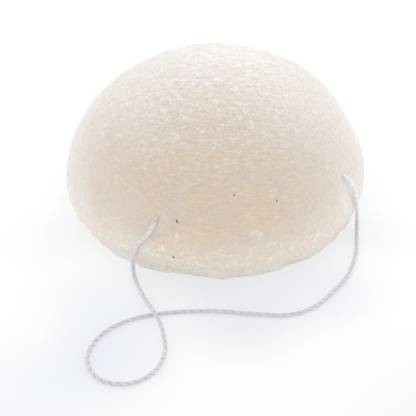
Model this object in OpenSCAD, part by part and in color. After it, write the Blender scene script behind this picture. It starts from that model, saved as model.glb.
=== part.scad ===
// Half-ball facial sponge of konjac gel with a carrying string threaded through it.
// The origin is the centre of the flat base, +Z is up and the free string lies on the -Y side.

/* [Sponge] */
// Widest diameter of the half ball
sponge_d = 80; // [70:1:92]
// Height of the crown above the flat base
sponge_h = 40; // [34:1:46]
// Height of the widest circle above the flat base
rim_h = 6; // [4:0.5:10]
// How far the edge of the base is drawn in from the widest circle
rim_tuck = 2.5; // [1:0.1:4]

/* [String holes] */
// Height of both string holes above the base
hole_h = 17.5; // [15:0.5:21]
// Direction of the left hole, seen from above, in degrees from +X
left_hole_az = -113; // [-118:1:-108]
// Direction of the right hole, seen from above, in degrees from +X
right_hole_az = -26; // [-31:1:-21]
// How deep the gel is drawn in where the string leaves it
dimple_depth = 0.8; // [0.5:0.1:1.2]
// Radius of the ball that shapes each drawn-in spot
dimple_r = 2.2; // [1.8:0.1:3]

/* [String] */
// Diameter of the twisted string
string_d = 1.2; // [1:0.1:1.5]
// Clearance between the string and the channel that it runs in
channel_clearance = 0.1; // [0.05:0.05:0.3]
// Clearance between the strands inside the knot
knot_clearance = 0.2; // [0.15:0.05:0.4]
// Length of each loose end past the knot
tail_l = 3.5; // [2:0.5:6]

/* [Root flecks] */
// Width of the largest dark fleck of konjac root
fleck_d = 1; // [0.7:0.1:1.4]
// Thickness of a fleck
fleck_t = 0.4; // [0.3:0.1:0.6]
// How far a fleck stands out of the gel
fleck_proud = 0.1; // [0.05:0.05:0.2]
// Clearance between a fleck and the gel around it
fleck_clearance = 0.05; // [0.03:0.01:0.1]

/* [Hidden] */

round_fn = 96;
sponge_r = sponge_d / 2;
string_r = string_d / 2;
// Steps along the outline above and below the widest circle
crown_steps = 48;
rim_steps = 8;

// The channel is one flat arc that meets both holes squarely
hole_spread = right_hole_az - left_hole_az;
mid_az = (left_hole_az + right_hole_az) / 2;
exit_r = dome_r(hole_h) - dimple_depth;
arc_r = exit_r * tan(hole_spread / 2);
arc_centre_r = exit_r / cos(hole_spread / 2);
arc_half_angle = 90 - hole_spread / 2;
arc_half_l = arc_r * arc_half_angle * PI / 180;
channel_r = string_r + channel_clearance;
// The mouth of each hole is a little wider, and reaches a little way into the channel
mouth_r = channel_r + channel_clearance / 2;
mouth_overrun = string_r;

// Sizes of the flat knot, in steps of one strand and its clearance
strand_pitch = string_d + knot_clearance;
leg_offset = strand_pitch / 2;
bight_r = 3 * leg_offset;
bight_x = 1.1 * strand_pitch;
knot_half_l = bight_x + bight_r;
settle_l = 2 * strand_pitch;
chamber_half_l = knot_half_l + tail_l + knot_clearance;
chamber_r = bight_r + string_r + knot_clearance;

// Facets round the string, and the angle and lengths between its rings
string_sides = 8;
rings_per_span = 2;
bight_step = 15;
knot_ring_l = string_r;
leg_ring_l = 2 * string_d;

// How round the free string turns at each of its points
turn_share = 0.55;

// Directions of the flecks, their heights as shares of the sponge's height,
// and their widths as shares of the largest one
fleck_azimuths = [-105, -105, -82, -65];
fleck_height_shares = [0.45, 0.2, 0.6, 0.53];
fleck_width_shares = [1, 0.85, 0.6, 0.75];
fleck_sides = 6;

// Route of the free string from the left hole to the right one:
// across, along and the height of its underside, in millimetres
string_route = [
    [-15.2, -35.6, 16.3],
    [-16, -36.4, 14.7],
    [-17.2, -36.2, 12.6],
    [-18.8, -35.7, 10.3],
    [-20.2, -35.3, 7.7],
    [-20.9, -35.1, 4.6],
    [-20.9, -36.1, 1.7],
    [-20.2, -38.9, 0.2],
    [-18.7, -43.5, 0.3],
    [-17.1, -48.3, 1],
    [-15.4, -52.3, 1.6],
    [-13.8, -56, 1.2],
    [-12.6, -60.5, 0.4],
    [-12.2, -67, 0.1],
    [-15, -74.1, 0.1],
    [-21, -77.7, 0.1],
    [-27.5, -76, 0.1],
    [-30.6, -70, 0.1],
    [-29.5, -63, 0.1],
    [-25, -57, 0.1],
    [-18.1, -53.2, 0.1],
    [-9, -51.3, 0.1],
    [0.5, -51, 0.1],
    [10, -52.1, 0.1],
    [18.5, -52.4, 0.1],
    [24.8, -49.4, 0.1],
    [29.8, -43.7, 0.1],
    [34.1, -36.9, 0.1],
    [36.7, -28.7, 0.1],
    [37.5, -22.2, 0.1],
    [37.8, -18.1, 0.4],
    [37.9, -16.2, 2],
    [37.9, -15.5, 4.3],
    [37.6, -15.5, 7.1],
    [37.1, -16, 10],
    [36.6, -16.6, 12.6],
    [35.8, -17.1, 14.8],
    [34.7, -16.9, 16.3],
];

// Radius of the sponge at a height: an ellipse above the widest circle, a tuck below it
function dome_r(z) =
    z >= rim_h
    ? sponge_r * sqrt(max(0, 1 - pow((z - rim_h) / (sponge_h - rim_h), 2)))
    : sponge_r - rim_tuck * pow((rim_h - z) / rim_h, 2);

// How far the surface looks up, in degrees, at a height
function dome_tilt(z) =
    z >= rim_h
    ? atan2((z - rim_h) / pow(sponge_h - rim_h, 2), dome_r(z) / pow(sponge_r, 2))
    : -atan(2 * rim_tuck * (rim_h - z) / pow(rim_h, 2));

function unit(v) = v / norm(v);
function level_dir(az) = [cos(az), sin(az), 0];
function ease(s) = (1 - cos(180 * min(1, max(0, s)))) / 2;

// A place beside the channel's arc: distance along it, offset towards its centre, and height
function beside_arc(p) =
    let (turn = p[0] / arc_r * 180 / PI)
    arc_centre_r * level_dir(mid_az)
    - (arc_r - p[1]) * level_dir(mid_az - turn)
    + [0, 0, hole_h + p[2]];

// Half the distance between the two legs of one bight, along the knot
function leg_spread(x) = leg_offset + (bight_r - leg_offset) * ease((x + bight_x) / (2 * bight_x));

// Height of one strand as it passes under, over and under the other one
function strand_rise(x) =
    x < -knot_half_l
    ? -leg_offset * (1 - ease((-x - knot_half_l) / settle_l))
    : leg_offset * cos(180 * x / knot_half_l);

// One string end in the channel: its leg from the hole, its bight in the knot and its tail
function end_route() =
    let (
        knot_x = -knot_half_l - settle_l,
        leg_rings = ceil((arc_half_l + knot_x) / leg_ring_l),
        knot_rings = ceil((bight_x - knot_x) / knot_ring_l),
        tail_x = -knot_half_l - tail_l,
        tail_rings = ceil((bight_x - tail_x) / knot_ring_l)
    )
    concat(
        [for (i = [0:leg_rings - 1]) [-arc_half_l + i / leg_rings * (arc_half_l + knot_x), 0, 0]],
        [for (i = [0:knot_rings])
            let (x = knot_x + i / knot_rings * (bight_x - knot_x))
            [x, leg_spread(x) - leg_offset, strand_rise(x)]],
        [for (a = [90 - bight_step:-bight_step:bight_step - 90])
            let (x = bight_x + bight_r * cos(a))
            [x, bight_r * sin(a) - leg_offset, strand_rise(x)]],
        [for (i = [0:tail_rings])
            let (x = bight_x + i / tail_rings * (tail_x - bight_x))
            [x, -leg_spread(x) - leg_offset, strand_rise(x)]]
    );

// The right end is the left one turned half round about the knot's own middle
function half_turned(route) = [for (p = route) [-p[0], p[1], -p[2]]];

// Points of a smooth curve through a route that starts and ends in known directions
function smooth_route(route, start_dir, end_dir) =
    let (
        last = len(route) - 1,
        before = route[1] - 2 * norm(route[1] - route[0]) * start_dir,
        after = route[last - 1] + 2 * norm(route[last] - route[last - 1]) * end_dir,
        q = concat([before], route, [after])
    )
    concat(
        [for (i = [1:last], k = [0:rings_per_span - 1])
            let (
                t = k / rings_per_span,
                slope_a = turn_share * (q[i + 1] - q[i - 1]),
                slope_b = turn_share * (q[i + 2] - q[i])
            )
            (2 * pow(t, 3) - 3 * pow(t, 2) + 1) * q[i]
            + (pow(t, 3) - 2 * pow(t, 2) + t) * slope_a
            + (3 * pow(t, 2) - 2 * pow(t, 3)) * q[i + 1]
            + (pow(t, 3) - pow(t, 2)) * slope_b],
        [route[last]]
    );

function path_length(p) = len(p) < 2 ? 0 : sum_steps([for (i = [1:len(p) - 1]) norm(p[i] - p[i - 1])]);
function sum_steps(v) = v * [for (step = v) 1];

left_exit = exit_r * level_dir(left_hole_az) + [0, 0, hole_h];
right_exit = exit_r * level_dir(right_hole_az) + [0, 0, hole_h];
free_path = smooth_route(
    concat([left_exit], [for (p = string_route) p + [0, 0, string_r]], [right_exit]),
    level_dir(left_hole_az),
    -level_dir(right_hole_az)
);
echo(free_string_length = path_length(free_path));

// A round string of flat-sided rings along a path, cut square to its first and last directions
module string_tube(path, start_dir, end_dir) {
    last = len(path) - 1;
    dirs = [for (i = [0:last])
        i == 0 ? start_dir : i == last ? end_dir : unit(path[i + 1] - path[i - 1])];
    sides = [for (
        i = 0, s = unit(cross(dirs[0], [0, 0, 1]));
        i <= last;
        i = i + 1, s = i <= last ? unit(s - (s * dirs[i]) * dirs[i]) : s
    ) s];
    ring_points = [for (i = [0:last], j = [0:string_sides - 1])
        let (a = 360 * j / string_sides)
        path[i] + string_r * (cos(a) * sides[i] + sin(a) * cross(dirs[i], sides[i]))];
    wall = [for (i = [0:last - 1], j = [0:string_sides - 1], half = [0, 1])
        let (
            next_j = (j + 1) % string_sides,
            a = i * string_sides + j,
            b = i * string_sides + next_j,
            c = a + string_sides,
            d = b + string_sides
        )
        half == 0 ? [a, d, b] : [a, c, d]];
    first_cap = [for (j = [1:string_sides - 2]) [0, j, j + 1]];
    base = last * string_sides;
    last_cap = [for (j = [1:string_sides - 2]) [base, base + j + 1, base + j]];
    polyhedron(ring_points, concat(wall, first_cap, last_cap));
}

// A stretch of round tunnel along the channel's arc, centred on the knot
module arc_tunnel(r, half_angle, offset) {
    translate(arc_centre_r * level_dir(mid_az) + [0, 0, hole_h])
        rotate(mid_az + 180 - half_angle)
            rotate_extrude(angle = 2 * half_angle, $fn = round_fn)
                translate([arc_r - offset, 0])
                    circle(r, $fn = round_fn);
}

// The opening of the channel at one hole: a short straight bore and the drawn-in spot
module hole_mouth(az) {
    rotate(az)
        translate([exit_r, 0, hole_h]) {
            translate([-mouth_overrun, 0, 0])
                rotate([0, 90, 0])
                    cylinder(h = mouth_overrun + dimple_depth, r = mouth_r, $fn = round_fn);
            translate([dimple_r, 0, 0])
                sphere(dimple_r, $fn = round_fn);
        }
}

// One chip lying in the surface, or the pocket for it when it is grown and lengthened
module fleck(i, growth, length_out) {
    z = sponge_h * fleck_height_shares[i];
    rotate(fleck_azimuths[i])
        translate([dome_r(z), 0, z])
            rotate([0, 90 - dome_tilt(z), 0])
                translate([0, 0, fleck_proud - fleck_t - growth])
                    cylinder(
                        h = fleck_t + growth + length_out,
                        r = fleck_d / 2 * fleck_width_shares[i] + growth,
                        $fn = fleck_sides
                    );
}

module sponge_body() {
    crown = [for (i = [0:crown_steps])
        let (a = 90 * i / crown_steps)
        [sponge_r * cos(a), rim_h + (sponge_h - rim_h) * sin(a)]];
    tuck = [for (i = [0:rim_steps - 1])
        let (z = rim_h * i / rim_steps)
        [dome_r(z), z]];
    color([0.87, 0.81, 0.73])
        difference() {
            rotate_extrude($fn = round_fn)
                polygon(concat([[0, 0]], tuck, crown));
            arc_tunnel(channel_r, arc_half_angle, 0);
            arc_tunnel(chamber_r, chamber_half_l / arc_r * 180 / PI, -leg_offset);
            hole_mouth(left_hole_az);
            hole_mouth(right_hole_az);
            for (i = [0:len(fleck_azimuths) - 1])
                fleck(i, fleck_clearance, fleck_d);
        }
}

module string_loop() {
    color([0.84, 0.84, 0.87])
        string_tube(free_path, level_dir(left_hole_az), -level_dir(right_hole_az));
}

module string_end_left() {
    path = [for (p = end_route()) beside_arc(p)];
    last = len(path) - 1;
    color([0.8, 0.8, 0.84])
        string_tube(path, -level_dir(left_hole_az), unit(path[last] - path[last - 1]));
}

module string_end_right() {
    path = [for (p = half_turned(end_route())) beside_arc(p)];
    last = len(path) - 1;
    color([0.76, 0.76, 0.8])
        string_tube(path, -level_dir(right_hole_az), unit(path[last] - path[last - 1]));
}

module root_flecks() {
    color([0.35, 0.28, 0.22])
        for (i = [0:len(fleck_azimuths) - 1])
            fleck(i, 0, 0);
}

sponge_body();
string_loop();
string_end_left();
string_end_right();
root_flecks();
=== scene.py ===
"""A half-ball konjac sponge and its twisted string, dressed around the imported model.

Sizes are in millimetres, as in the part's source, and MM turns them into metres.
The sponge stands on z = 0, and the string lies on its -Y side.
"""
import math

import bmesh
import bpy
import numpy as np
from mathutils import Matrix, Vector, noise
from mathutils.kdtree import KDTree


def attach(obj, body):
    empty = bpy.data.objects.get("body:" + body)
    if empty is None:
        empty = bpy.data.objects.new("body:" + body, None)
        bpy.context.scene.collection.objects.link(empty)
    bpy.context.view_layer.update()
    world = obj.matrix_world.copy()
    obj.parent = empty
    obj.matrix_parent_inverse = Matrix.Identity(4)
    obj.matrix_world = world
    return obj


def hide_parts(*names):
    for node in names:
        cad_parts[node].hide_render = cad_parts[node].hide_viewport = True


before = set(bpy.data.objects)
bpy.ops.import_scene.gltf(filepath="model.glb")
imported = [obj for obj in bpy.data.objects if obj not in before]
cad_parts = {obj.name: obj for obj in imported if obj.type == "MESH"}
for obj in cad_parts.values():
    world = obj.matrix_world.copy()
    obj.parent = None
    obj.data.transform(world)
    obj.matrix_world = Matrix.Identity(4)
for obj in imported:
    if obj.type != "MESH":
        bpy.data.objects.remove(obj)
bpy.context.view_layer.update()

MM = 0.001
WHITE = (1.0, 1.0, 1.0, 1.0)

# The solid's own sizes: sponge, rim, holes, string and knot
SPONGE_R, SPONGE_H = 40.0, 40.0
RIM_H, RIM_TUCK = 6.0, 2.5
HOLE_H, LEFT_AZ, RIGHT_AZ = 17.5, -113.0, -26.0
DIMPLE_DEPTH = 0.8
STRING_D = 1.2
KNOT_CLEARANCE, TAIL_L = 0.2, 3.5
# The string's slope at a point of its route, as a share of the line between its neighbours
TURN_SHARE = 0.55

# The free string's route, as in the part's source: across, along, height of its underside
STRING_ROUTE = [
    (-15.2, -35.6, 16.3), (-16, -36.4, 14.7), (-17.2, -36.2, 12.6), (-18.8, -35.7, 10.3),
    (-20.2, -35.3, 7.7), (-20.9, -35.1, 4.6), (-20.9, -36.1, 1.7), (-20.2, -38.9, 0.2),
    (-18.7, -43.5, 0.3), (-17.1, -48.3, 1), (-15.4, -52.3, 1.6), (-13.8, -56, 1.2),
    (-12.6, -60.5, 0.4), (-12.2, -67, 0.1), (-15, -74.1, 0.1), (-21, -77.7, 0.1),
    (-27.5, -76, 0.1), (-30.6, -70, 0.1), (-29.5, -63, 0.1), (-25, -57, 0.1),
    (-18.1, -53.2, 0.1), (-9, -51.3, 0.1), (0.5, -51, 0.1), (10, -52.1, 0.1),
    (18.5, -52.4, 0.1), (24.8, -49.4, 0.1), (29.8, -43.7, 0.1), (34.1, -36.9, 0.1),
    (36.7, -28.7, 0.1), (37.5, -22.2, 0.1), (37.8, -18.1, 0.4), (37.9, -16.2, 2),
    (37.9, -15.5, 4.3), (37.6, -15.5, 7.1), (37.1, -16, 10), (36.6, -16.6, 12.6),
    (35.8, -17.1, 14.8), (34.7, -16.9, 16.3),
]


def level_dir(az):
    return np.array([math.cos(math.radians(az)), math.sin(math.radians(az)), 0.0])


def dome_r(z):
    """Radius of the CAD sponge at a height."""
    z = np.asarray(z, float)
    up = np.clip(1 - ((z - RIM_H) / (SPONGE_H - RIM_H)) ** 2, 0, None)
    tuck = RIM_TUCK * ((RIM_H - z) / RIM_H) ** 2
    return np.where(z >= RIM_H, SPONGE_R * np.sqrt(up), SPONGE_R - tuck)


def on_dome(az, z):
    """The place on the CAD sponge in a direction and at a height."""
    return float(dome_r(z)) * level_dir(az) + (0, 0, z)


EXIT_R = float(dome_r(HOLE_H)) - DIMPLE_DEPTH
LEFT_EXIT = EXIT_R * level_dir(LEFT_AZ) + (0, 0, HOLE_H)
RIGHT_EXIT = EXIT_R * level_dir(RIGHT_AZ) + (0, 0, HOLE_H)


def smoothstep(x, low, high):
    """0 up to low and 1 from high on, with a soft step between; low may be the greater of the two."""
    t = np.clip((np.asarray(x, float) - low) / (high - low), 0, 1)
    return t * t * (3 - 2 * t)


def mesh_object(name, points, faces, uvs=None):
    mesh = bpy.data.meshes.new(name)
    mesh.from_pydata((np.asarray(points) * MM).tolist(), [], faces)
    if uvs is not None:
        layer = mesh.uv_layers.new(name="around_along")
        corners = np.array([i for face in faces for i in face])
        layer.data.foreach_set("uv", np.asarray(uvs)[corners].astype(np.float32).ravel())
    mesh.validate()
    mesh.polygons.foreach_set("use_smooth", [True] * len(mesh.polygons))
    obj = bpy.data.objects.new(name, mesh)
    bpy.context.scene.collection.objects.link(obj)
    return obj


# Camera

# The photograph's camera, fitted to the sponge's outline: how far it looks down, its place and its lens
CAMERA_TILT = 36.33
CAMERA_PLACE = (-1.71, -364.85, 263.42)
CAMERA_LENS, CAMERA_SENSOR = 141.75, 36.0
# The nearest and farthest that it sees, in metres
CLIP_START, CLIP_END = 0.01, 20.0


def make_camera():
    data = bpy.data.cameras.new("photo_camera")
    data.lens = CAMERA_LENS
    data.sensor_width = CAMERA_SENSOR
    data.clip_start = CLIP_START
    data.clip_end = CLIP_END
    camera = bpy.data.objects.new("photo_camera", data)
    bpy.context.scene.collection.objects.link(camera)
    camera.location = Vector(CAMERA_PLACE) * MM
    camera.rotation_euler = (math.radians(90 - CAMERA_TILT), 0, 0)
    bpy.context.scene.camera = camera


# String

# Points of the curve between two points of the route
ROUTE_STEPS = 16
# Each ply is a tube: the distance between its rings, and the points round each
RING_STEP = 0.25
PLY_SIDES = 16
# The length in which the plies turn once, and the distance of each from the string's middle
LAY_LENGTH = 4.2
PLY_OFFSET = 0.275
# Half a ply's width outwards and across, how square its section is and how much it narrows outwards
PLY_RADIAL, PLY_ACROSS = 0.27, 0.47
PLY_SQUARENESS = 2.35
PLY_TAPER = 0.32
# The yarn swells and thins by this share, over stretches of this length
YARN_SWELL = 0.035
YARN_STRETCH = 1.7
# Sets the noise of one ply apart from the other's
PLY_SHIFT = 9.3
# Points nearer than this are one, in metres
WELD = 1e-7
# Points along a string end in the channel: its leg, its knot and its tail, and degrees round its bight
LEG_POINTS, KNOT_POINTS, TAIL_POINTS = 12, 25, 22
BIGHT_STEP = 10


def smooth_route(points, start_dir, end_dir):
    """The curve of the part's source through the points, leaving and ending in known directions."""
    line = [np.asarray(p, float) for p in points]
    before = line[1] - 2 * np.linalg.norm(line[1] - line[0]) * start_dir
    after = line[-2] + 2 * np.linalg.norm(line[-1] - line[-2]) * end_dir
    line = [before, *line, after]
    curve = []
    for last, here, there, beyond in zip(line, line[1:], line[2:], line[3:]):
        leaving = TURN_SHARE * (there - last)
        reaching = TURN_SHARE * (beyond - here)
        for t in np.arange(ROUTE_STEPS) / ROUTE_STEPS:
            curve.append(
                (2 * t**3 - 3 * t**2 + 1) * here + (t**3 - 2 * t**2 + t) * leaving
                + (3 * t**2 - 2 * t**3) * there + (t**3 - t**2) * reaching
            )
    curve.append(line[-2])
    return np.array(curve)


def even_path(path, step):
    """The same line with points an even step apart, and the distance along it to each."""
    run = np.r_[0, np.cumsum(np.linalg.norm(np.diff(path, axis=0), axis=1))]
    count = max(2, int(round(run[-1] / step)))
    at = np.linspace(0, run[-1], count + 1)
    return np.stack([np.interp(at, run, path[:, k]) for k in range(3)], 1), at


def path_frames(path, start_dir, end_dir):
    """Directions along a path, and two sideways directions that are carried along without twist."""
    along = np.gradient(path, axis=0)
    along[0] = start_dir
    along[-1] = end_dir
    along /= np.linalg.norm(along, axis=1)[:, None]
    side = np.cross(along[0], (0, 0, 1.0))
    sides = []
    for way in along:
        side = side - (side @ way) * way
        side /= np.linalg.norm(side)
        sides.append(side)
    sides = np.array(sides)
    return along, sides, np.cross(along, sides)


def ply_section():
    """One ply's outline, outwards and across; it is flat against the other, so the pair is round."""
    around = 2 * math.pi * np.arange(PLY_SIDES + 1) / PLY_SIDES
    power = 2 / PLY_SQUARENESS
    radials = PLY_RADIAL * np.sign(np.cos(around)) * np.abs(np.cos(around)) ** power
    acrosses = PLY_ACROSS * np.sign(np.sin(around)) * np.abs(np.sin(around)) ** power
    return radials, acrosses * (1 - PLY_TAPER * np.cos(around))


def tube_faces(first, rings):
    """Sides and end caps of a tube of rings, whose points start at a number."""
    wide = PLY_SIDES + 1
    faces = []
    for i in range(rings - 1):
        for j in range(PLY_SIDES):
            a = first + i * wide + j
            faces.append((a, a + wide, a + wide + 1, a + 1))
    last = first + (rings - 1) * wide
    faces.append(tuple(range(first, first + PLY_SIDES)))
    faces.append(tuple(reversed(range(last, last + PLY_SIDES))))
    return faces


def weld_seams(obj):
    """Joins the doubled points along each tube's seam; the two UV values there stay apart."""
    bm = bmesh.new()
    bm.from_mesh(obj.data)
    bmesh.ops.remove_doubles(bm, verts=bm.verts, dist=WELD)
    bmesh.ops.recalc_face_normals(bm, faces=bm.faces)
    bm.to_mesh(obj.data)
    bm.free()


def twisted_string(name, path, start_dir, end_dir, seed):
    """Two plies laid round each other along a path, each a closed tube with slightly uneven yarn."""
    path, run = even_path(path, RING_STEP)
    along, side, top = path_frames(path, start_dir, end_dir)
    radials, acrosses = ply_section()
    points, faces, uvs = [], [], []
    for ply in (0, 1):
        turn = 2 * math.pi * run / LAY_LENGTH + ply * math.pi
        out = np.cos(turn)[:, None] * side + np.sin(turn)[:, None] * top
        across = np.cross(along, out)
        swell = np.array([noise.noise((s / YARN_STRETCH, PLY_SHIFT * ply, seed)) for s in run])
        swell = 1 + YARN_SWELL * swell
        faces += tube_faces(len(points), len(path))
        for i, p in enumerate(path):
            for j, (radial, sideways) in enumerate(zip(radials, acrosses)):
                points.append(p + PLY_OFFSET * out[i] + swell[i] * (radial * out[i] + sideways * across[i]))
                # the yarn in a ply turns back against the lay, so that its fibres run along the string
                uvs.append((j / PLY_SIDES + turn[i] / (2 * math.pi), run[i]))
    obj = mesh_object(name, points, faces, uvs)
    weld_seams(obj)
    return obj


def free_route():
    """The middle of the free string, from hole to hole."""
    centres = [(x, y, z + STRING_D / 2) for x, y, z in STRING_ROUTE]
    return smooth_route([LEFT_EXIT, *centres, RIGHT_EXIT], level_dir(LEFT_AZ), -level_dir(RIGHT_AZ))


def channel_routes():
    """The two string ends inside the gel: along the arc to the flat knot, as in the part's source."""
    hole_spread = RIGHT_AZ - LEFT_AZ
    mid_az = (LEFT_AZ + RIGHT_AZ) / 2
    arc_r = EXIT_R * math.tan(math.radians(hole_spread / 2))
    arc_centre_r = EXIT_R / math.cos(math.radians(hole_spread / 2))
    arc_half_l = arc_r * math.radians(90 - hole_spread / 2)
    strand_pitch = STRING_D + KNOT_CLEARANCE
    leg_offset = strand_pitch / 2
    bight_r = 3 * leg_offset
    bight_x = 1.1 * strand_pitch
    knot_half_l = bight_x + bight_r
    settle_l = 2 * strand_pitch
    knot_x = -knot_half_l - settle_l
    tail_x = -knot_half_l - TAIL_L

    def ease(s):
        return (1 - math.cos(math.pi * min(1.0, max(0.0, s)))) / 2

    def leg_spread(x):
        return leg_offset + (bight_r - leg_offset) * ease((x + bight_x) / (2 * bight_x))

    def strand_rise(x):
        if x < -knot_half_l:
            return -leg_offset * (1 - ease((-x - knot_half_l) / settle_l))
        return leg_offset * math.cos(math.pi * x / knot_half_l)

    def placed(p):
        turn = math.degrees(p[0] / arc_r)
        return (arc_centre_r * level_dir(mid_az) - (arc_r - p[1]) * level_dir(mid_az - turn)
                + (0, 0, HOLE_H + p[2]))

    flat = [(x, 0, 0) for x in np.linspace(-arc_half_l, knot_x, LEG_POINTS)[:-1]]
    for x in np.linspace(knot_x, bight_x, KNOT_POINTS):
        flat.append((x, leg_spread(x) - leg_offset, strand_rise(x)))
    for a in np.radians(np.arange(90 - BIGHT_STEP, BIGHT_STEP - 91, -BIGHT_STEP)):
        x = bight_x + bight_r * math.cos(a)
        flat.append((x, bight_r * math.sin(a) - leg_offset, strand_rise(x)))
    for x in np.linspace(bight_x, tail_x, TAIL_POINTS):
        flat.append((x, -leg_spread(x) - leg_offset, strand_rise(x)))
    # the right end is the left one turned half round about the knot's own middle
    left = np.array([placed(p) for p in flat])
    right = np.array([placed((-x, y, -z)) for x, y, z in flat])
    return left, right


def make_free_string(route, material):
    string = twisted_string("string_free", route, level_dir(LEFT_AZ), -level_dir(RIGHT_AZ), 1.0)
    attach(string, "root")
    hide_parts("string_loop")
    string.data.materials.append(material)


def make_string_ends(material):
    left_route, right_route = channel_routes()
    for side_name, side_route, az in (("left", left_route, LEFT_AZ), ("right", right_route, RIGHT_AZ)):
        last = side_route[-1] - side_route[-2]
        last = last / np.linalg.norm(last)
        end = twisted_string("string_knot_" + side_name, side_route, -level_dir(az), last, 2.0)
        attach(end, "root")
        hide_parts("string_end_" + side_name)
        end.data.materials.append(material)


# Sponge

# Cuts along each side of the icosahedron, and how densely its points lie on the flat base
BALL_CUTS = 98
BASE_DENSITY = 0.5
# Points of the outline's crown, foot and base before it is sampled evenly
CROWN_POINTS, FOOT_POINTS, BASE_POINTS = 400, 120, 200
# The outline's samples: their distance, how many are averaged to round the edge of the base, and
# within what distance of that edge
OUTLINE_STEP = 0.1
EDGE_SAMPLES = 3
EDGE_REACH = 1.5
# The soft foot draws in below the rim, then spreads a little where it rests on the floor
FOOT_TUCK, TUCK_CURVE = 3.3, 1.2
SPREAD, SPREAD_H, SPREAD_CURVE = 0.6, 1.2, 1.5
FOOT_R = SPONGE_R - FOOT_TUCK + SPREAD
# What is lower than these heights is base: for the spread of points, the open cells and the skin
FLAT_H, CELLS_H, BASE_H = 0.02, 0.05, 0.6
# Radii on the base between which the skin's rise sets in, and the open cells do
RISE_R = (FOOT_R - 4.0, FOOT_R - 0.5)
CELLS_R = (FOOT_R - 1.5, FOOT_R - 4.0)

# Broad and small swellings of the skin, each a height, the size of its features and a noise shift
SWELLINGS = [(0.28, 14.0, 3.0), (0.16, 5.5, 8.0)]
# Fine wrinkles: their height, what counts as level, their size each way, and how far and over
# what size they wander
WRINKLE_H, WRINKLE_LEVEL = 0.19, 0.35
WRINKLE_SIZE = (2.2, 2.2, 0.75)
WANDER, WANDER_SIZE = 0.7, 3.1
# The grain of the skin: its height and size
GRAIN_H, GRAIN_SIZE = 0.11, 0.8
# Share of the wrinkles and grain that wet skin has, and heights between which the skin gets dry
WET_SHARE = 0.6
DRY_H = (16.0, 36.0)
# Folds and grain of the foot, likewise; towards the right the grain gets lower by the drop,
# between these two places across
FOLD_H, FOLD_SIZE = 0.6, 2.8
FOOT_GRAIN_H, FOOT_GRAIN_SIZE = 0.48, 1.2
FOOT_GRAIN_DROP, DROP_X = 0.3, (22.0, 32.0)
# Heights between which the foot gets rough, and the skin's rise turns from outwards to level
ROUGH_H, LEVEL_H = (9.0, 2.0), (4.0, 0.8)
# Below this height the folds and grain of the foot stay the same down to the floor
EVEN_H = 1.5
# Under the string the skin lies at least this low, between these distances from its middle
STRING_BED, BED_REACH = 0.06, (3.2, 1.3)
# Open cells of the base: their size and depth
CELL_SIZE, CELL_DEPTH = 2.3, 0.9
# A cell slopes down from its wall while the distances to the nearest two middles differ by this
# much, in cell sizes
CELL_SLOPE = (0.05, 0.6)

# Soft unevenness of the outline, each a place on the surface, its reach and its height
LUMPS = [
    (23.9, 21.0, 26.6, 13.0, 0.8),
    (-14.8, 24.3, 29.9, 10.0, 0.2),
    (40.0, -1.0, 13.0, 9.0, 0.8),
    (-2.0, -38.0, 0.5, 16.0, -0.4),
    (-8.5, -36.5, 0.5, 5.0, -0.8),
    (-11.0, -35.5, 0.5, 7.0, -0.3),
    (2.5, -37.4, 0.5, 4.0, 0.5),
    (10.0, -36.1, 0.5, 5.0, 0.3),
    (26.0, -27.0, 0.5, 5.0, 0.7),
    (-28.0, -25.0, 1.0, 7.0, -0.1),
    (36.5, -12.0, 1.0, 5.0, 0.6),
    (34.3, -17.0, 0.5, 5.0, 0.5),
    (-14.9, -35.0, 17.5, 2.2, -0.3),
    (34.3, -16.7, 17.5, 2.2, -0.3),
]


def even_ball(cuts):
    """Directions and triangles of an icosahedron whose sides are cut evenly."""
    golden = (1 + math.sqrt(5)) / 2
    corners = np.array([
        (-1, golden, 0), (1, golden, 0), (-1, -golden, 0), (1, -golden, 0),
        (0, -1, golden), (0, 1, golden), (0, -1, -golden), (0, 1, -golden),
        (golden, 0, -1), (golden, 0, 1), (-golden, 0, -1), (-golden, 0, 1),
    ]) / math.hypot(1, golden)
    sides = [(0, 11, 5), (0, 5, 1), (0, 1, 7), (0, 7, 10), (0, 10, 11), (1, 5, 9), (5, 11, 4),
             (11, 10, 2), (10, 7, 6), (7, 1, 8), (3, 9, 4), (3, 4, 2), (3, 2, 6), (3, 6, 8),
             (3, 8, 9), (4, 9, 5), (2, 4, 11), (6, 2, 10), (8, 6, 7), (9, 8, 1)]
    rows = [(i, j) for i in range(cuts + 1) for j in range(cuts + 1 - i)]
    number = {ij: k for k, ij in enumerate(rows)}
    small = []
    for i, j in rows:
        if i + j < cuts:
            small.append((number[i, j], number[i + 1, j], number[i, j + 1]))
        if i + j < cuts - 1:
            small.append((number[i + 1, j], number[i + 1, j + 1], number[i, j + 1]))
    rows = np.array(rows, float) / cuts
    small = np.array(small)
    points, faces = [], []
    for n, (a, b, c) in enumerate(sides):
        a, b, c = corners[a], corners[b], corners[c]
        points.append(a + rows[:, :1] * (b - a) + rows[:, 1:] * (c - a))
        faces.append(small + n * len(rows))
    points = np.concatenate(points)
    points /= np.linalg.norm(points, axis=1)[:, None]
    _, first, back = np.unique(np.round(points, 6), axis=0, return_index=True, return_inverse=True)
    return points[first], back.reshape(-1)[np.concatenate(faces)]


def rounded_edge(line, at):
    """The outline with the edge of the base rounded; at is the distance along it to each point."""
    half = EDGE_SAMPLES // 2
    mean = np.ones(EDGE_SAMPLES) / EDGE_SAMPLES
    soft = [np.convolve(np.pad(line[:, k], half, "edge"), mean, "valid") for k in (0, 1)]
    edge = np.argmax(line[:, 1] <= 0)
    near = smoothstep(np.abs(at - at[edge]), 2 * EDGE_REACH, EDGE_REACH)[:, None]
    return line * (1 - near) + np.stack(soft, 1) * near


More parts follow.
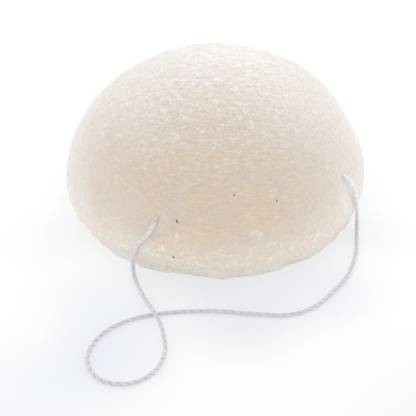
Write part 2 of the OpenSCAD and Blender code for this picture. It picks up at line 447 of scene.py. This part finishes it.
def sponge_outline():
    """The outline's points and outward directions, each a radius and a height, from crown to base."""
    turn = np.linspace(math.pi / 2, 0, CROWN_POINTS)
    crown = np.stack([SPONGE_R * np.cos(turn), RIM_H + (SPONGE_H - RIM_H) * np.sin(turn)], 1)
    z = np.linspace(RIM_H, 0, FOOT_POINTS)[1:]
    foot = SPONGE_R - FOOT_TUCK * ((RIM_H - z) / RIM_H) ** TUCK_CURVE
    foot = foot + SPREAD * np.clip(1 - z / SPREAD_H, 0, 1) ** SPREAD_CURVE
    tuck = np.stack([foot, z], 1)
    r = np.linspace(FOOT_R, 0, BASE_POINTS)[1:]
    base = np.stack([r, 0 * r], 1)
    line = np.concatenate([crown, tuck, base])
    run = np.r_[0, np.cumsum(np.linalg.norm(np.diff(line, axis=0), axis=1))]
    at = np.arange(0, run[-1], OUTLINE_STEP)
    line = np.stack([np.interp(at, run, line[:, k]) for k in (0, 1)], 1)
    line = rounded_edge(line, at)
    step = np.gradient(line, axis=0)
    step /= np.linalg.norm(step, axis=1)[:, None]
    return line, np.stack([-step[:, 1], step[:, 0]], 1)


def turned(line, at, az):
    """Rows of radius and height, read at places along them and set in directions round the middle."""
    radius, height = (np.interp(at, np.arange(len(line)), line[:, k]) for k in (0, 1))
    return np.stack([radius * np.cos(az), radius * np.sin(az), height], 1)


def sponge_shape():
    """Points, triangles and outward directions of the smooth sponge."""
    ball, faces = even_ball(BALL_CUTS)
    line, outward = sponge_outline()
    on_base = line[:, 1] < FLAT_H
    share = np.cumsum(line[:, 0] * np.where(on_base, BASE_DENSITY, 1.0))
    share = (share - share[0]) / (share[-1] - share[0])
    at = np.interp((1 - ball[:, 2]) / 2, share, np.arange(len(line)))
    az = np.arctan2(ball[:, 1], ball[:, 0])
    points = turned(line, at, az)
    out = turned(outward, at, az)
    return points, faces, out / np.linalg.norm(out, axis=1)[:, None]


def smooth_noise(points, size, shift):
    """Smooth noise at each point, with features of about this size; a shift sets its uses apart."""
    return np.array([noise.noise(p) for p in (points / size + shift).tolist()])


def wrinkles(points):
    """Fine flat wrinkles of the skin, from 0 to 1, longer sideways than up."""
    drift = np.stack([smooth_noise(points, WANDER_SIZE, shift) for shift in (11.0, 23.0, 37.0)], 1)
    bent = (points + WANDER * drift) / WRINKLE_SIZE
    fold = 1 - 2 * np.abs(smooth_noise(bent, 1.0, 5.0))
    return np.clip(fold, 0, 1) ** 2


def base_cells(points):
    """Open bubbles in the flat base: how deep each point lies in its cell, in millimetres."""
    differences = []
    for p in (points / CELL_SIZE + 7.0).tolist():
        near = noise.voronoi((p[0], p[1], 0.0))[0]
        differences.append(near[1] - near[0])
    return CELL_DEPTH * smoothstep(differences, *CELL_SLOPE)


def skin_rise(points, band):
    """How far the skin rises from the smooth sponge; the band is 1 at the foot and 0 above it."""
    rise = sum(height * smooth_noise(points, size, shift) for height, size, shift in SWELLINGS)
    # wet skin, lower down, is smoother
    dry = WET_SHARE + (1 - WET_SHARE) * smoothstep(points[:, 2], *DRY_H)
    rise += dry * WRINKLE_H * (wrinkles(points) - WRINKLE_LEVEL)
    rise += dry * GRAIN_H * smooth_noise(points, GRAIN_SIZE, 31.0)
    # the lowest skin is uneven in one way down to the floor, so that no part of it hangs over
    held = np.maximum(points, (-SPONGE_R, -SPONGE_R, EVEN_H))
    rise += band * FOLD_H * smooth_noise(held, FOLD_SIZE, 2.0)
    foot_grain_h = FOOT_GRAIN_H - FOOT_GRAIN_DROP * smoothstep(points[:, 0], *DROP_X)
    rise += band * foot_grain_h * smooth_noise(held, FOOT_GRAIN_SIZE, 4.0)
    for x, y, height, reach, lift in LUMPS:
        away = np.linalg.norm(points - (x, y, height), axis=1)
        rise += lift * np.exp(-(away / reach) ** 2)
    return rise


def point_tree(points):
    """A search tree that finds the nearest of the points to a place."""
    tree = KDTree(len(points))
    for i, p in enumerate(points):
        tree.insert(p, i)
    tree.balance()
    return tree


def clear_of_string(points, rise, route):
    """The rise of the skin, held down where the string lies on it."""
    tree = point_tree(route)
    gap = np.array([tree.find(p)[2] for p in points.tolist()])
    near = smoothstep(gap, *BED_REACH)
    return rise * (1 - near) + np.minimum(rise, -STRING_BED) * near


def sponge_mesh(route):
    """The lumpy, wrinkled gel on a flat base of open cells."""
    points, faces, out = sponge_shape()
    z = points[:, 2]
    level = points * (1, 1, 0)
    radius = np.linalg.norm(level, axis=1)
    level /= np.maximum(radius, 1e-6)[:, None]
    # near the floor the skin moves in and out level, so that its foot stays down
    low = smoothstep(z, *LEVEL_H)[:, None]
    out = out * (1 - low) + level * low
    side = np.where(z > BASE_H, 1.0, smoothstep(radius, *RISE_R))
    rise = skin_rise(points, smoothstep(z, *ROUGH_H) * side) * side
    rise = clear_of_string(points, rise, route)
    points = points + rise[:, None] * out
    # the open cells of the base end short of its edge
    flat = np.where(z > CELLS_H, 0.0, smoothstep(radius, *CELLS_R))
    points[:, 2] += flat * base_cells(points)
    points[:, 2] = np.maximum(points[:, 2], 0)
    return mesh_object("sponge_gel", points, faces.tolist())


def make_sponge(route):
    sponge = sponge_mesh(route)
    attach(sponge, "root")
    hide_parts("sponge_body")
    sponge.data.materials.append(gel_material())
    return sponge


# Flecks

# Each fleck: direction, height, length, width, lean
FLECKS = [
    (-104.8, 17.8, 1.1, 0.48, 118),
    (-105, 7.9, 0.95, 0.42, 95),
    (-82, 23.9, 0.95, 0.24, 65),
    (-64.2, 21.2, 0.6, 0.45, 40),
]
# Their thickness, how deep their middle lies and how much they narrow
FLECK_T = 0.34
FLECK_SINK = 0.06
FLECK_TAPER = 1.1
# How ragged they are, and the size of a rag on the ball of radius 1 that each is made from
FLECK_RAGGED, RAG_SIZE = 0.35, 0.5
# Cuts along each side of the icosahedron that each fleck is made from
FLECK_CUTS = 5


def fleck_mesh(sponge):
    """Small ragged chips of root bedded in the gel, all in one mesh."""
    skin = sponge.data.vertices
    tree = point_tree([v.co / MM for v in skin])
    ball, small = even_ball(FLECK_CUTS)
    points, faces = [], []
    for n, (az, height, length, width, lean) in enumerate(FLECKS):
        found, index, _ = tree.find(on_dome(az, height))
        up = np.array(skin[index].normal)
        across = np.cross((0, 0, 1.0), up)
        across /= np.linalg.norm(across)
        above = np.cross(up, across)
        turn = math.radians(lean)
        long_dir = math.cos(turn) * across + math.sin(turn) * above
        wide_dir = np.cross(up, long_dir)
        ragged = 1 + FLECK_RAGGED * smooth_noise(ball, RAG_SIZE, 13.0 * n)
        chip = ball * ragged[:, None] * (length / 2, width / 2, FLECK_T / 2)
        chip[:, 1] *= 1 - FLECK_TAPER * chip[:, 0] / length
        chip = np.array(found) + chip @ np.stack([long_dir, wide_dir, up]) - FLECK_SINK * up
        faces += (small + len(points)).tolist()
        points += chip.tolist()
    return mesh_object("root_fleck_chips", points, faces)


def make_flecks(sponge):
    flecks = fleck_mesh(sponge)
    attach(flecks, "root")
    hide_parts("root_flecks")
    flecks.data.materials.append(fleck_material())


# Nodes that the materials share

# Share of a spot's reach within which it is full
SPOT_CORE_SHARE = 0.15


def add(tree, kind, inputs=(), **settings):
    """A new shader node with its settings, and its inputs given as values or linked sockets."""
    made = tree.nodes.new("ShaderNode" + kind)
    for key, value in settings.items():
        setattr(made, key, value)
    for key, value in dict(inputs).items():
        if isinstance(value, bpy.types.NodeSocket):
            tree.links.new(value, made.inputs[key])
        else:
            made.inputs[key].default_value = value
    return made


def empty_tree(owner):
    """The node tree of a material or a world, emptied."""
    owner.use_nodes = True
    owner.node_tree.nodes.clear()
    return owner.node_tree


def new_material(name):
    material = bpy.data.materials.new(name)
    tree = empty_tree(material)
    shader = add(tree, "BsdfPrincipled")
    add(tree, "OutputMaterial", {"Surface": shader.outputs[0]})
    return material, tree, shader


def dress_shader(tree, shader, body, rough, bump, fixed):
    """Links a look's colour, roughness and bump, and sets the values that are the same all over."""
    tree.links.new(body, shader.inputs["Base Color"])
    tree.links.new(rough, shader.inputs["Roughness"])
    tree.links.new(bump, shader.inputs["Normal"])
    for name, value in fixed.items():
        shader.inputs[name].default_value = value


def millimetres(tree):
    """The place on the object, in millimetres."""
    coords = add(tree, "TexCoord").outputs["Object"]
    return add(tree, "VectorMath", {0: coords, "Scale": 1 / MM}, operation="SCALE").outputs[0]


def height_of(tree, place):
    return add(tree, "SeparateXYZ", {0: place}).outputs[2]


def distance(tree, place, centre):
    """How far each place lies from a centre."""
    return add(tree, "VectorMath", {0: place, 1: tuple(centre)}, operation="DISTANCE").outputs["Value"]


def distance_along(tree, place, way):
    """How far each place lies along a direction."""
    return add(tree, "VectorMath", {0: place, 1: way}, operation="DOT_PRODUCT").outputs["Value"]


def stretched(tree, place, scale):
    return add(tree, "VectorMath", {0: place, 1: scale}, operation="MULTIPLY").outputs[0]


def stirred(tree, place, scale, detail, reach):
    """The place pushed about by smooth noise, by 0 to reach each way."""
    push = add(tree, "TexNoise", {"Vector": place, "Scale": scale, "Detail": detail}).outputs["Color"]
    moves = {0: push, 1: (reach, reach, reach), 2: place}
    return add(tree, "VectorMath", moves, operation="MULTIPLY_ADD").outputs[0]


def grain(tree, place, size, detail=2.0, rough=0.5, twist=0.0):
    return add(tree, "TexNoise", {
        "Vector": place, "Scale": 1 / size, "Detail": detail, "Roughness": rough, "Distortion": twist,
    }).outputs["Fac"]


def ramp(tree, value, low, high, to_low=0.0, to_high=1.0):
    """A soft step from to_low, where the value is low, to to_high, where it is high."""
    return add(tree, "MapRange", {
        0: value, 1: low, 2: high, 3: to_low, 4: to_high,
    }, interpolation_type="SMOOTHSTEP").outputs[0]


def times(tree, a, b):
    return add(tree, "Math", {0: a, 1: b}, operation="MULTIPLY").outputs[0]


def plus(tree, a, b):
    return add(tree, "Math", {0: a, 1: b}, operation="ADD").outputs[0]


def bumps(tree, relief, strength, depth):
    """Small bumps where the relief is high, up to a depth in millimetres."""
    return add(tree, "Bump", {"Strength": strength, "Distance": depth * MM, "Height": relief}).outputs[0]


def colour(r, g, b):
    """A colour given as it shows on a screen, from 0 to 255."""
    def linear(c):
        c = c / 255
        return c / 12.92 if c <= 0.04045 else ((c + 0.055) / 1.055) ** 2.4
    return (linear(r), linear(g), linear(b), 1.0)


def blend(tree, share, a, b):
    """Colour a turned into colour b by a share."""
    return add(tree, "Mix", {0: share, 6: a, 7: b}, data_type="RGBA").outputs[2]


def paint(tree, body, share, shown):
    """The body colour turned by a share into one given as it shows on a screen."""
    return blend(tree, share, body, colour(*shown))


def spots(tree, place, marks):
    """1 on each round spot of the skin and 0 between them."""
    some = None
    for az, height, reach in marks:
        away = distance(tree, place, on_dome(az, height))
        one = ramp(tree, away, reach, SPOT_CORE_SHARE * reach)
        some = one if some is None else plus(tree, some, one)
    return some


# Gel

# Up and forwards, the way that the seen side of the gel faces
FRONT_DIR = (0.0, -0.81, 0.59)
# Distances that way between which the painted pale looks set in, and the far side's painted shade
LIT_REACH, FAR_SHADE_REACH = (-26.0, 5.0), (4.0, -26.0)
# The middle of the front, and distances from it between which painted light turns the gel paler towards the
# rims
RIM_LIGHT_MIDDLE, RIM_LIGHT_REACH = (-4.0, -34.0, 16.0), (16.0, 54.0)
# Heights between which each look changes: painted light on the crown, on the low gel and on its pale foot,
# its pits, painted light at its contact with the floor, dry and wet skin, pale and dark strokes and pale
# grains (towards the crown partly painted glints), bubbles and relief
CROWN_LIGHT_H = (23.0, 40.0)
LOW_GEL_LIGHT_H, FOOT_LIGHT_H, PITS_H, CONTACT_LIGHT_H = (21.0, 6.0), (5.0, 0.5), (9.0, 1.5), (1.6, 0.3)
DRY_SKIN_H, WET_SKIN_H = (18.0, 38.0), (11.0, 6.0)
PALE_STROKES_AND_GLINTS_H, DARK_STROKES_H, PALE_GRAINS_AND_GLINTS_H = (26.0, 38.0), (24.0, 36.0), (28.0, 38.0)
BUBBLES_H, RELIEF_H = (14.0, 7.0), (16.0, 38.0)
# Sizes of the patterns: blotches, tint, pits, clearings and grains
BLOTCH_SIZE, TINT_SIZE, PIT_SIZE, CLEARING_SIZE, FINE_SIZE = 7.0, 2.2, 1.0, 5.0, 0.42
# The low gel's uneven upper edge: its height and size
EDGE_WAVE_H, EDGE_WAVE_SIZE = 5.0, 4.0
# Strokes: their size, how far they are squeezed each way, where less than 1 draws them out, and
# how far they bend
STROKE_SIZE, STROKE_SCALE, STROKE_BEND = 0.8, (0.38, 0.8, 1.3), 1.2
# Depth of the gel's relief
GEL_RELIEF = 0.4
# Soft patches of another tint, each a direction, a height, a reach, a share and a colour
WARM, COOL, PALE = (220, 200, 170), (224, 221, 215), (244, 240, 236)
# the pale patches beside the string, at -28, -118.5 and -112.5 degrees, are painted light over the string's
# contact shade
PATCHES = [
    (-90.0, 35.0, 25.0, 0.33, WARM), (-129.5, 15.0, 14.0, 0.3, COOL), (-28.0, 11.0, 8.0, 0.55, PALE),
    (-118.5, 8.0, 6.0, 0.8, PALE), (-112.5, 16.5, 4.5, 0.35, PALE), (90.0, 37.5, 18.0, 0.35, PALE),
]
# Clear spots on the front, each a direction, a height and a reach
CLEAR_SPOTS = [(-114.8, 17.6, 2.6), (-74.5, 19.3, 3.2), (-81.0, 23.5, 2.0), (-76.0, 24.5, 2.0)]
# Bubbles strewn near the base, each row a size, how rare they are and how much they show
STREWN_BUBBLES = [(1.9, 0.2, 0.6), (2.7, 0.45, 0.8), (1.3, 0.4, 0.5)]
# The largest bubbles under the skin, each a direction, a height and a reach
BRIGHT_BUBBLES = [
    (-103.9, 13.9, 0.95), (-109.6, 9.8, 1.1), (-115.2, 8.4, 0.85), (-67.7, 10.8, 0.95), (-60.3, 8.2, 0.9),
    (-126.8, 9.2, 0.8), (-105.5, 4.1, 0.9), (-72.8, 7.4, 0.9),
]
FAINT_BUBBLES = [
    (-113.2, 10.5, 0.9), (-100.8, 9.1, 0.9), (-128.8, 6.2, 0.9), (-82.8, 7.2, 1.1), (-85.2, 6.5, 0.9),
    (-65.2, 7.4, 1.0), (-75.4, 14.8, 1.2), (-72.7, 14.0, 1.0), (-43.5, 6.5, 0.8), (-52.2, 4.9, 0.9),
    (-70.1, 1.6, 1.0), (-58.9, 2.4, 0.9), (-72.8, 5.1, 0.9),
]
# How far the largest bubbles' outlines are pushed about
BUBBLE_RAGGED = 1.2


def gel_zones(tree, place, height, lit):
    """Warm gel in soft blotches and patches; painted light makes it paler towards the rims and whiter at
    the crown.
    """
    blotch = ramp(tree, grain(tree, place, BLOTCH_SIZE), 0.35, 0.65)
    body = blend(tree, blotch, colour(225, 205, 185), colour(221, 206, 192))
    tint = ramp(tree, grain(tree, place, TINT_SIZE, 3.0), 0.5, 0.75)
    body = paint(tree, body, times(tree, tint, 0.4), (238, 212, 184))
    # painted light: the gel turns paler and greyer towards the rims, away from the front's middle, on the
    # side facing the viewer
    away = ramp(tree, distance(tree, place, RIM_LIGHT_MIDDLE), *RIM_LIGHT_REACH, 0.0, 0.85)
    body = paint(tree, body, times(tree, away, lit), (230, 224, 219))
    # painted light: a whiter crown on the side that faces the viewer
    crown = times(tree, ramp(tree, height, *CROWN_LIGHT_H), lit)
    body = paint(tree, body, times(tree, crown, 0.7), (235, 230, 226))
    for az, middle, reach, share, shown in PATCHES:
        patch = spots(tree, place, [(az, middle, reach)])
        body = paint(tree, body, times(tree, patch, share), shown)
    return body


def gel_foot(tree, place, height, lit, body):
    """Painted light near the base: paler low gel and foot, nearly white where it meets the floor, over the
    contact shade; and pits in it.
    """
    # painted light: the low gel and its foot are painted paler, in place of light through the gel
    wave = times(tree, grain(tree, place, EDGE_WAVE_SIZE), EDGE_WAVE_H)
    low = ramp(tree, plus(tree, height, wave), *LOW_GEL_LIGHT_H)
    low = times(tree, low, lit)
    body = paint(tree, body, times(tree, low, 0.8), (241, 232, 219))
    foot = times(tree, ramp(tree, height, *FOOT_LIGHT_H, 0.0, 0.8), lit)
    body = paint(tree, body, foot, (252, 246, 236))
    pits = ramp(tree, grain(tree, place, PIT_SIZE, 2.0, 0.6), 0.46, 0.6)
    pits = times(tree, pits, ramp(tree, height, *PITS_H, 0.0, 0.52))
    body = paint(tree, body, pits, (226, 210, 188))
    # painted light: nearly white where the gel meets the floor, over its contact shade
    return paint(tree, body, ramp(tree, height, *CONTACT_LIGHT_H, 0.0, 0.85), (255, 252, 246))


def gel_clearings(tree, place, facing, body):
    """Painted shade: warmer, darker gel on the far side, against the brighter light there; and a few clear
    yellowish spots.
    """
    # painted shade on the far side, which the room lights more brightly
    far = ramp(tree, facing, *FAR_SHADE_REACH, 0.0, 0.55)
    body = paint(tree, body, far, (216, 198, 178))
    clear = ramp(tree, grain(tree, place, CLEARING_SIZE, 1.0), 0.72, 0.8)
    clear = plus(tree, clear, spots(tree, place, CLEAR_SPOTS))
    return paint(tree, body, times(tree, clear, 0.3), (234, 216, 168))


def gel_skin(tree, height, strokes, fine, body):
    """Short pale and dark strokes of dry skin, and fine grains that differ from one to the next; towards
    the crown the pale ones are partly painted glints.
    """
    dry = ramp(tree, height, *DRY_SKIN_H, 0.38, 1.0)
    wet = ramp(tree, height, *WET_SKIN_H, 0.0, 0.6)
    pale = times(tree, ramp(tree, strokes, 0.53, 0.7), plus(tree, dry, wet))
    # towards the crown the pale strokes grow stronger: partly the skin's own, partly painted glints
    pale = times(tree, pale, ramp(tree, height, *PALE_STROKES_AND_GLINTS_H, 0.6, 0.9))
    body = paint(tree, body, pale, (251, 245, 238))
    dark = times(tree, ramp(tree, strokes, 0.48, 0.3), dry)
    dark = times(tree, dark, ramp(tree, height, *DARK_STROKES_H, 0.7, 0.42))
    body = paint(tree, body, dark, (215, 186, 150))
    # near-white grains towards the crown: partly the skin's own, partly painted glints
    pale = times(tree, ramp(tree, fine, 0.54, 0.7), ramp(tree, height, *PALE_GRAINS_AND_GLINTS_H, 0.2, 0.85))
    body = paint(tree, body, pale, (255, 252, 250))
    dark = times(tree, ramp(tree, fine, 0.46, 0.3), times(tree, dry, 0.45))
    return paint(tree, body, dark, (210, 189, 163))


def gel_bubbles(tree, place, height, lit, body):
    """Pale bubbles of air under the skin near the base: small ones strewn about, then the largest."""
    for size, rare, strength in STREWN_BUBBLES:
        cells = add(tree, "TexVoronoi", {"Vector": place, "Scale": 1 / size}, feature="F1")
        bubble = ramp(tree, cells.outputs["Distance"], 0.36, 0.1)
        some = ramp(tree, grain(tree, place, 1.4 * size, 1.0), rare, rare + 0.15)
        bubble = times(tree, bubble, times(tree, some, ramp(tree, height, *BUBBLES_H)))
        bubble = times(tree, bubble, times(tree, lit, strength))
        body = paint(tree, body, bubble, (255, 250, 234))
    back = (BUBBLE_RAGGED, BUBBLE_RAGGED, BUBBLE_RAGGED)
    ragged = stirred(tree, place, 1.1, 2.0, 2 * BUBBLE_RAGGED)
    ragged = add(tree, "VectorMath", {0: ragged, 1: back}, operation="SUBTRACT").outputs[0]
    bright = times(tree, spots(tree, ragged, BRIGHT_BUBBLES), 0.85)
    body = paint(tree, body, bright, (255, 251, 237))
    faint = times(tree, spots(tree, ragged, FAINT_BUBBLES), 0.45)
    return paint(tree, body, faint, (255, 249, 233))


def gel_material():
    """Damp gel, warm with clear spots at the front, drier skin above and bubbles low down; painted light
    pales its rims, crown and foot, and painted shade darkens its far side.
    """
    material, tree, shader = new_material("konjac_gel")
    place = millimetres(tree)
    height = height_of(tree, place)
    facing = distance_along(tree, place, FRONT_DIR)
    lit = ramp(tree, facing, *LIT_REACH, 0.25, 1.0)
    bent = stirred(tree, place, 0.35, 1.0, STROKE_BEND)
    strokes = grain(tree, stretched(tree, bent, STROKE_SCALE), STROKE_SIZE, 3.0, 0.6)
    fine = grain(tree, place, FINE_SIZE, 2.0, 0.6)
    body = gel_zones(tree, place, height, lit)
    body = gel_foot(tree, place, height, lit, body)
    body = gel_clearings(tree, place, facing, body)
    body = gel_skin(tree, height, strokes, fine, body)
    body = gel_bubbles(tree, place, height, lit, body)
    rough = ramp(tree, strokes, 0.3, 0.7, 0.62, 0.42)
    relief = plus(tree, strokes, times(tree, fine, 0.5))
    relief = times(tree, relief, ramp(tree, height, *RELIEF_H, 0.45, 1.0))
    dress_shader(tree, shader, body, rough, bumps(tree, relief, 0.8, GEL_RELIEF), {
        "IOR": 1.36,
        "Specular IOR Level": 0.5,
        "Subsurface Weight": 0.4,
        "Subsurface Radius": (0.85, 0.95, 1.0),
        "Subsurface Scale": 2.5 * MM,
        "Sheen Weight": 0.85,
        "Sheen Roughness": 0.5,
        "Sheen Tint": WHITE,
    })
    return material


# String and flecks

# How fine the fibres are round the ply and along it, and the size of the yarn's tints
FIBRE_SCALE, YARN_SIZE = (11.0, 0.9, 1.0), 1.3
# Heights and distances from the right exit between which painted light makes the string whiter, with a
# painted highlight near the exit
STRING_LIGHT_H, EXIT_HIGHLIGHT_REACH = (2.0, 8.0), (18.0, 8.0)
# The film of gel on the string at each exit: where, how far it reaches and how much it shows
GEL_FILMS = [(LEFT_EXIT, 4.4, 0.9), (RIGHT_EXIT, 1.8, 0.15)]
# The film is full within this distance
FILM_CORE = 0.8
# Depth of the fibres' relief on the string, and of the flecks'
FIBRE_RELIEF, FLECK_RELIEF = 0.06, 0.05
# Fibres of the root: how far they are squeezed each way, as for the strokes, and their size
ROOT_SCALE, ROOT_SIZE = (1.0, 1.0, 0.35), 0.12


def string_material():
    """Matt yarn, with painted light: whiter off the floor and a painted highlight near the right exit."""
    material, tree, shader = new_material("string")
    uv = add(tree, "TexCoord").outputs["UV"]
    place = millimetres(tree)
    # fibres: many round the ply, long along it
    fibres = grain(tree, stretched(tree, uv, FIBRE_SCALE), 1.0, 3.0, 0.65, 0.3)
    body = blend(tree, ramp(tree, fibres, 0.35, 0.68), colour(210, 209, 215), colour(229, 228, 234))
    yarn = ramp(tree, grain(tree, place, YARN_SIZE, 2.0), 0.45, 0.65)
    body = paint(tree, body, times(tree, yarn, 0.25), (226, 224, 228))
    # painted light: the string whiter off the floor
    off_floor_light = ramp(tree, height_of(tree, place), *STRING_LIGHT_H, 0.0, 0.4)
    body = paint(tree, body, off_floor_light, (246, 245, 248))
    # painted highlight near the right exit
    exit_highlight = ramp(tree, distance(tree, place, RIGHT_EXIT), *EXIT_HIGHLIGHT_REACH, 0.0, 0.85)
    body = paint(tree, body, exit_highlight, (252, 251, 254))
    for exit_place, reach, share in GEL_FILMS:
        film = ramp(tree, distance(tree, place, exit_place), reach, FILM_CORE, 0.0, share)
        body = paint(tree, body, film, (224, 207, 188))
    rough = ramp(tree, fibres, 0.3, 0.7, 0.85, 0.62)
    dress_shader(tree, shader, body, rough, bumps(tree, fibres, 0.45, FIBRE_RELIEF), {
        "Specular IOR Level": 0.3,
        "Subsurface Weight": 0.7,
        "Subsurface Radius": (1.0, 1.0, 1.0),
        "Subsurface Scale": 0.5 * MM,
        "Sheen Weight": 0.25,
        "Sheen Roughness": 0.5,
    })
    return material


def fleck_material():
    """Dark, fibrous root."""
    material, tree, shader = new_material("root_fleck")
    place = millimetres(tree)
    fibre = grain(tree, stretched(tree, place, ROOT_SCALE), ROOT_SIZE, 3.0, 0.6)
    body = blend(tree, ramp(tree, fibre, 0.35, 0.7), colour(96, 78, 62), colour(158, 134, 110))
    rough = ramp(tree, fibre, 0.3, 0.7, 0.8, 0.55)
    dress_shader(tree, shader, body, rough, bumps(tree, fibre, 0.6, FLECK_RELIEF), {})
    return material


# Floor and light

PAPER = (254, 255, 255)
FLOOR_HALF = 2500
# How much of the paper's own glow the camera sees
FLOOR_GLOW = 0.62
# Faint shade on the paper, each patch a place, its reach, its depth and how blue it is
FLOOR_SHADE = [
    (4, -6, 50, 0.8, 0.2),
    (0, -42, 32, 0.4, 0.2),
    (8, -55, 22, 0.45, 0.2),
    (28, -44, 22, 0.4, 0.5),
    (43, -19, 14, 0.18, 0.8),
    (-43, -21, 18, 0.12, 0.8),
    (-29, -47, 20, 0.28, 0.8),
    (-21, -60, 22, 0.26, 0.3),
    (-27, -68, 22, 0.3, 0.2),
    (-34, -76, 34, 0.26, 0.4),
    (-56, -92, 44, 0.28, 0.5),
    (57, -96, 48, 0.4, 0.2),
]
# A white room lights the object from behind, above and both sides; it is dimmer round the viewer
ROOM_LIGHT, VIEWER_LIGHT = 1.24, 0.875
# The way to the viewer, and how far that way the room starts and ends growing dimmer
VIEWER_DIR, VIEWER_REACH = (0.0, -0.66, 0.75), (-0.3, 0.9)
# A faint round lamp behind the object: its place, where it aims, its size and its watts
LAMP_PLACE, LAMP_AIM = (90, 480, 250), (0, 0, 15)
LAMP_SIZE, LAMP_WATTS = 120, 0.4


def seen_directly(tree):
    """1 for what the camera sees, also in gloss and through glass, and 0 for lighting."""
    path = add(tree, "LightPath").outputs
    some = add(tree, "Math", {0: path["Is Camera Ray"], 1: path["Is Glossy Ray"]}, operation="MAXIMUM")
    rays = {0: some.outputs[0], 1: path["Is Transmission Ray"]}
    return add(tree, "Math", rays, operation="MAXIMUM").outputs[0]


def paper_material():
    """White paper with faint shade on it, which partly glows for the camera alone."""
    material = bpy.data.materials.new("floor")
    tree = empty_tree(material)
    place = millimetres(tree)
    tone = colour(*PAPER)
    for x, y, reach, depth, blue in FLOOR_SHADE:
        shade = (228 - 12 * blue, 231 - 4 * blue, 238 + 10 * blue)
        near = ramp(tree, distance(tree, place, (x, y, 0)), reach, 0.0, 0.0, depth)
        tone = paint(tree, tone, near, shade)
    # the paper lights the object as plain white
    seen = seen_directly(tree)
    tone = blend(tree, seen, colour(*PAPER), tone)
    paper = add(tree, "BsdfDiffuse", {"Color": tone})
    glow = add(tree, "Emission", {"Color": tone, "Strength": 1.0})
    share = times(tree, seen, FLOOR_GLOW)
    both = add(tree, "MixShader", {0: share, 1: paper.outputs[0], 2: glow.outputs[0]})
    add(tree, "OutputMaterial", {"Surface": both.outputs[0]})
    return material


def make_floor():
    half = FLOOR_HALF
    corners = [(-half, -half, 0), (half, -half, 0), (half, half, 0), (-half, half, 0)]
    floor = mesh_object("floor", corners, [(0, 1, 2, 3)])
    floor.data.materials.append(paper_material())


def make_world():
    world = bpy.data.worlds.new("studio")
    bpy.context.scene.world = world
    tree = empty_tree(world)
    way = add(tree, "TexCoord").outputs["Generated"]
    front = distance_along(tree, way, VIEWER_DIR)
    strength = ramp(tree, front, *VIEWER_REACH, ROOM_LIGHT, VIEWER_LIGHT)
    light = add(tree, "Background", {"Color": WHITE, "Strength": strength})
    white = add(tree, "Background", {"Color": WHITE, "Strength": 1.0})
    both = add(tree, "MixShader", {0: seen_directly(tree), 1: light.outputs[0], 2: white.outputs[0]})
    add(tree, "OutputWorld", {"Surface": both.outputs[0]})


def make_lamp():
    data = bpy.data.lights.new("back_softbox", "AREA")
    data.shape = "DISK"
    data.size = LAMP_SIZE * MM
    data.energy = LAMP_WATTS
    lamp = bpy.data.objects.new("back_softbox", data)
    bpy.context.scene.collection.objects.link(lamp)
    lamp.location = Vector(LAMP_PLACE) * MM
    aim = Vector(LAMP_AIM) * MM - lamp.location
    lamp.rotation_euler = aim.to_track_quat("-Z", "Y").to_euler()


# The scene

make_camera()
cord_material = string_material()
route = free_route()
make_free_string(route, cord_material)
make_string_ends(cord_material)
sponge = make_sponge(route)
make_flecks(sponge)
make_floor()
make_world()
make_lamp()
bpy.context.scene.view_settings.view_transform = "Standard"
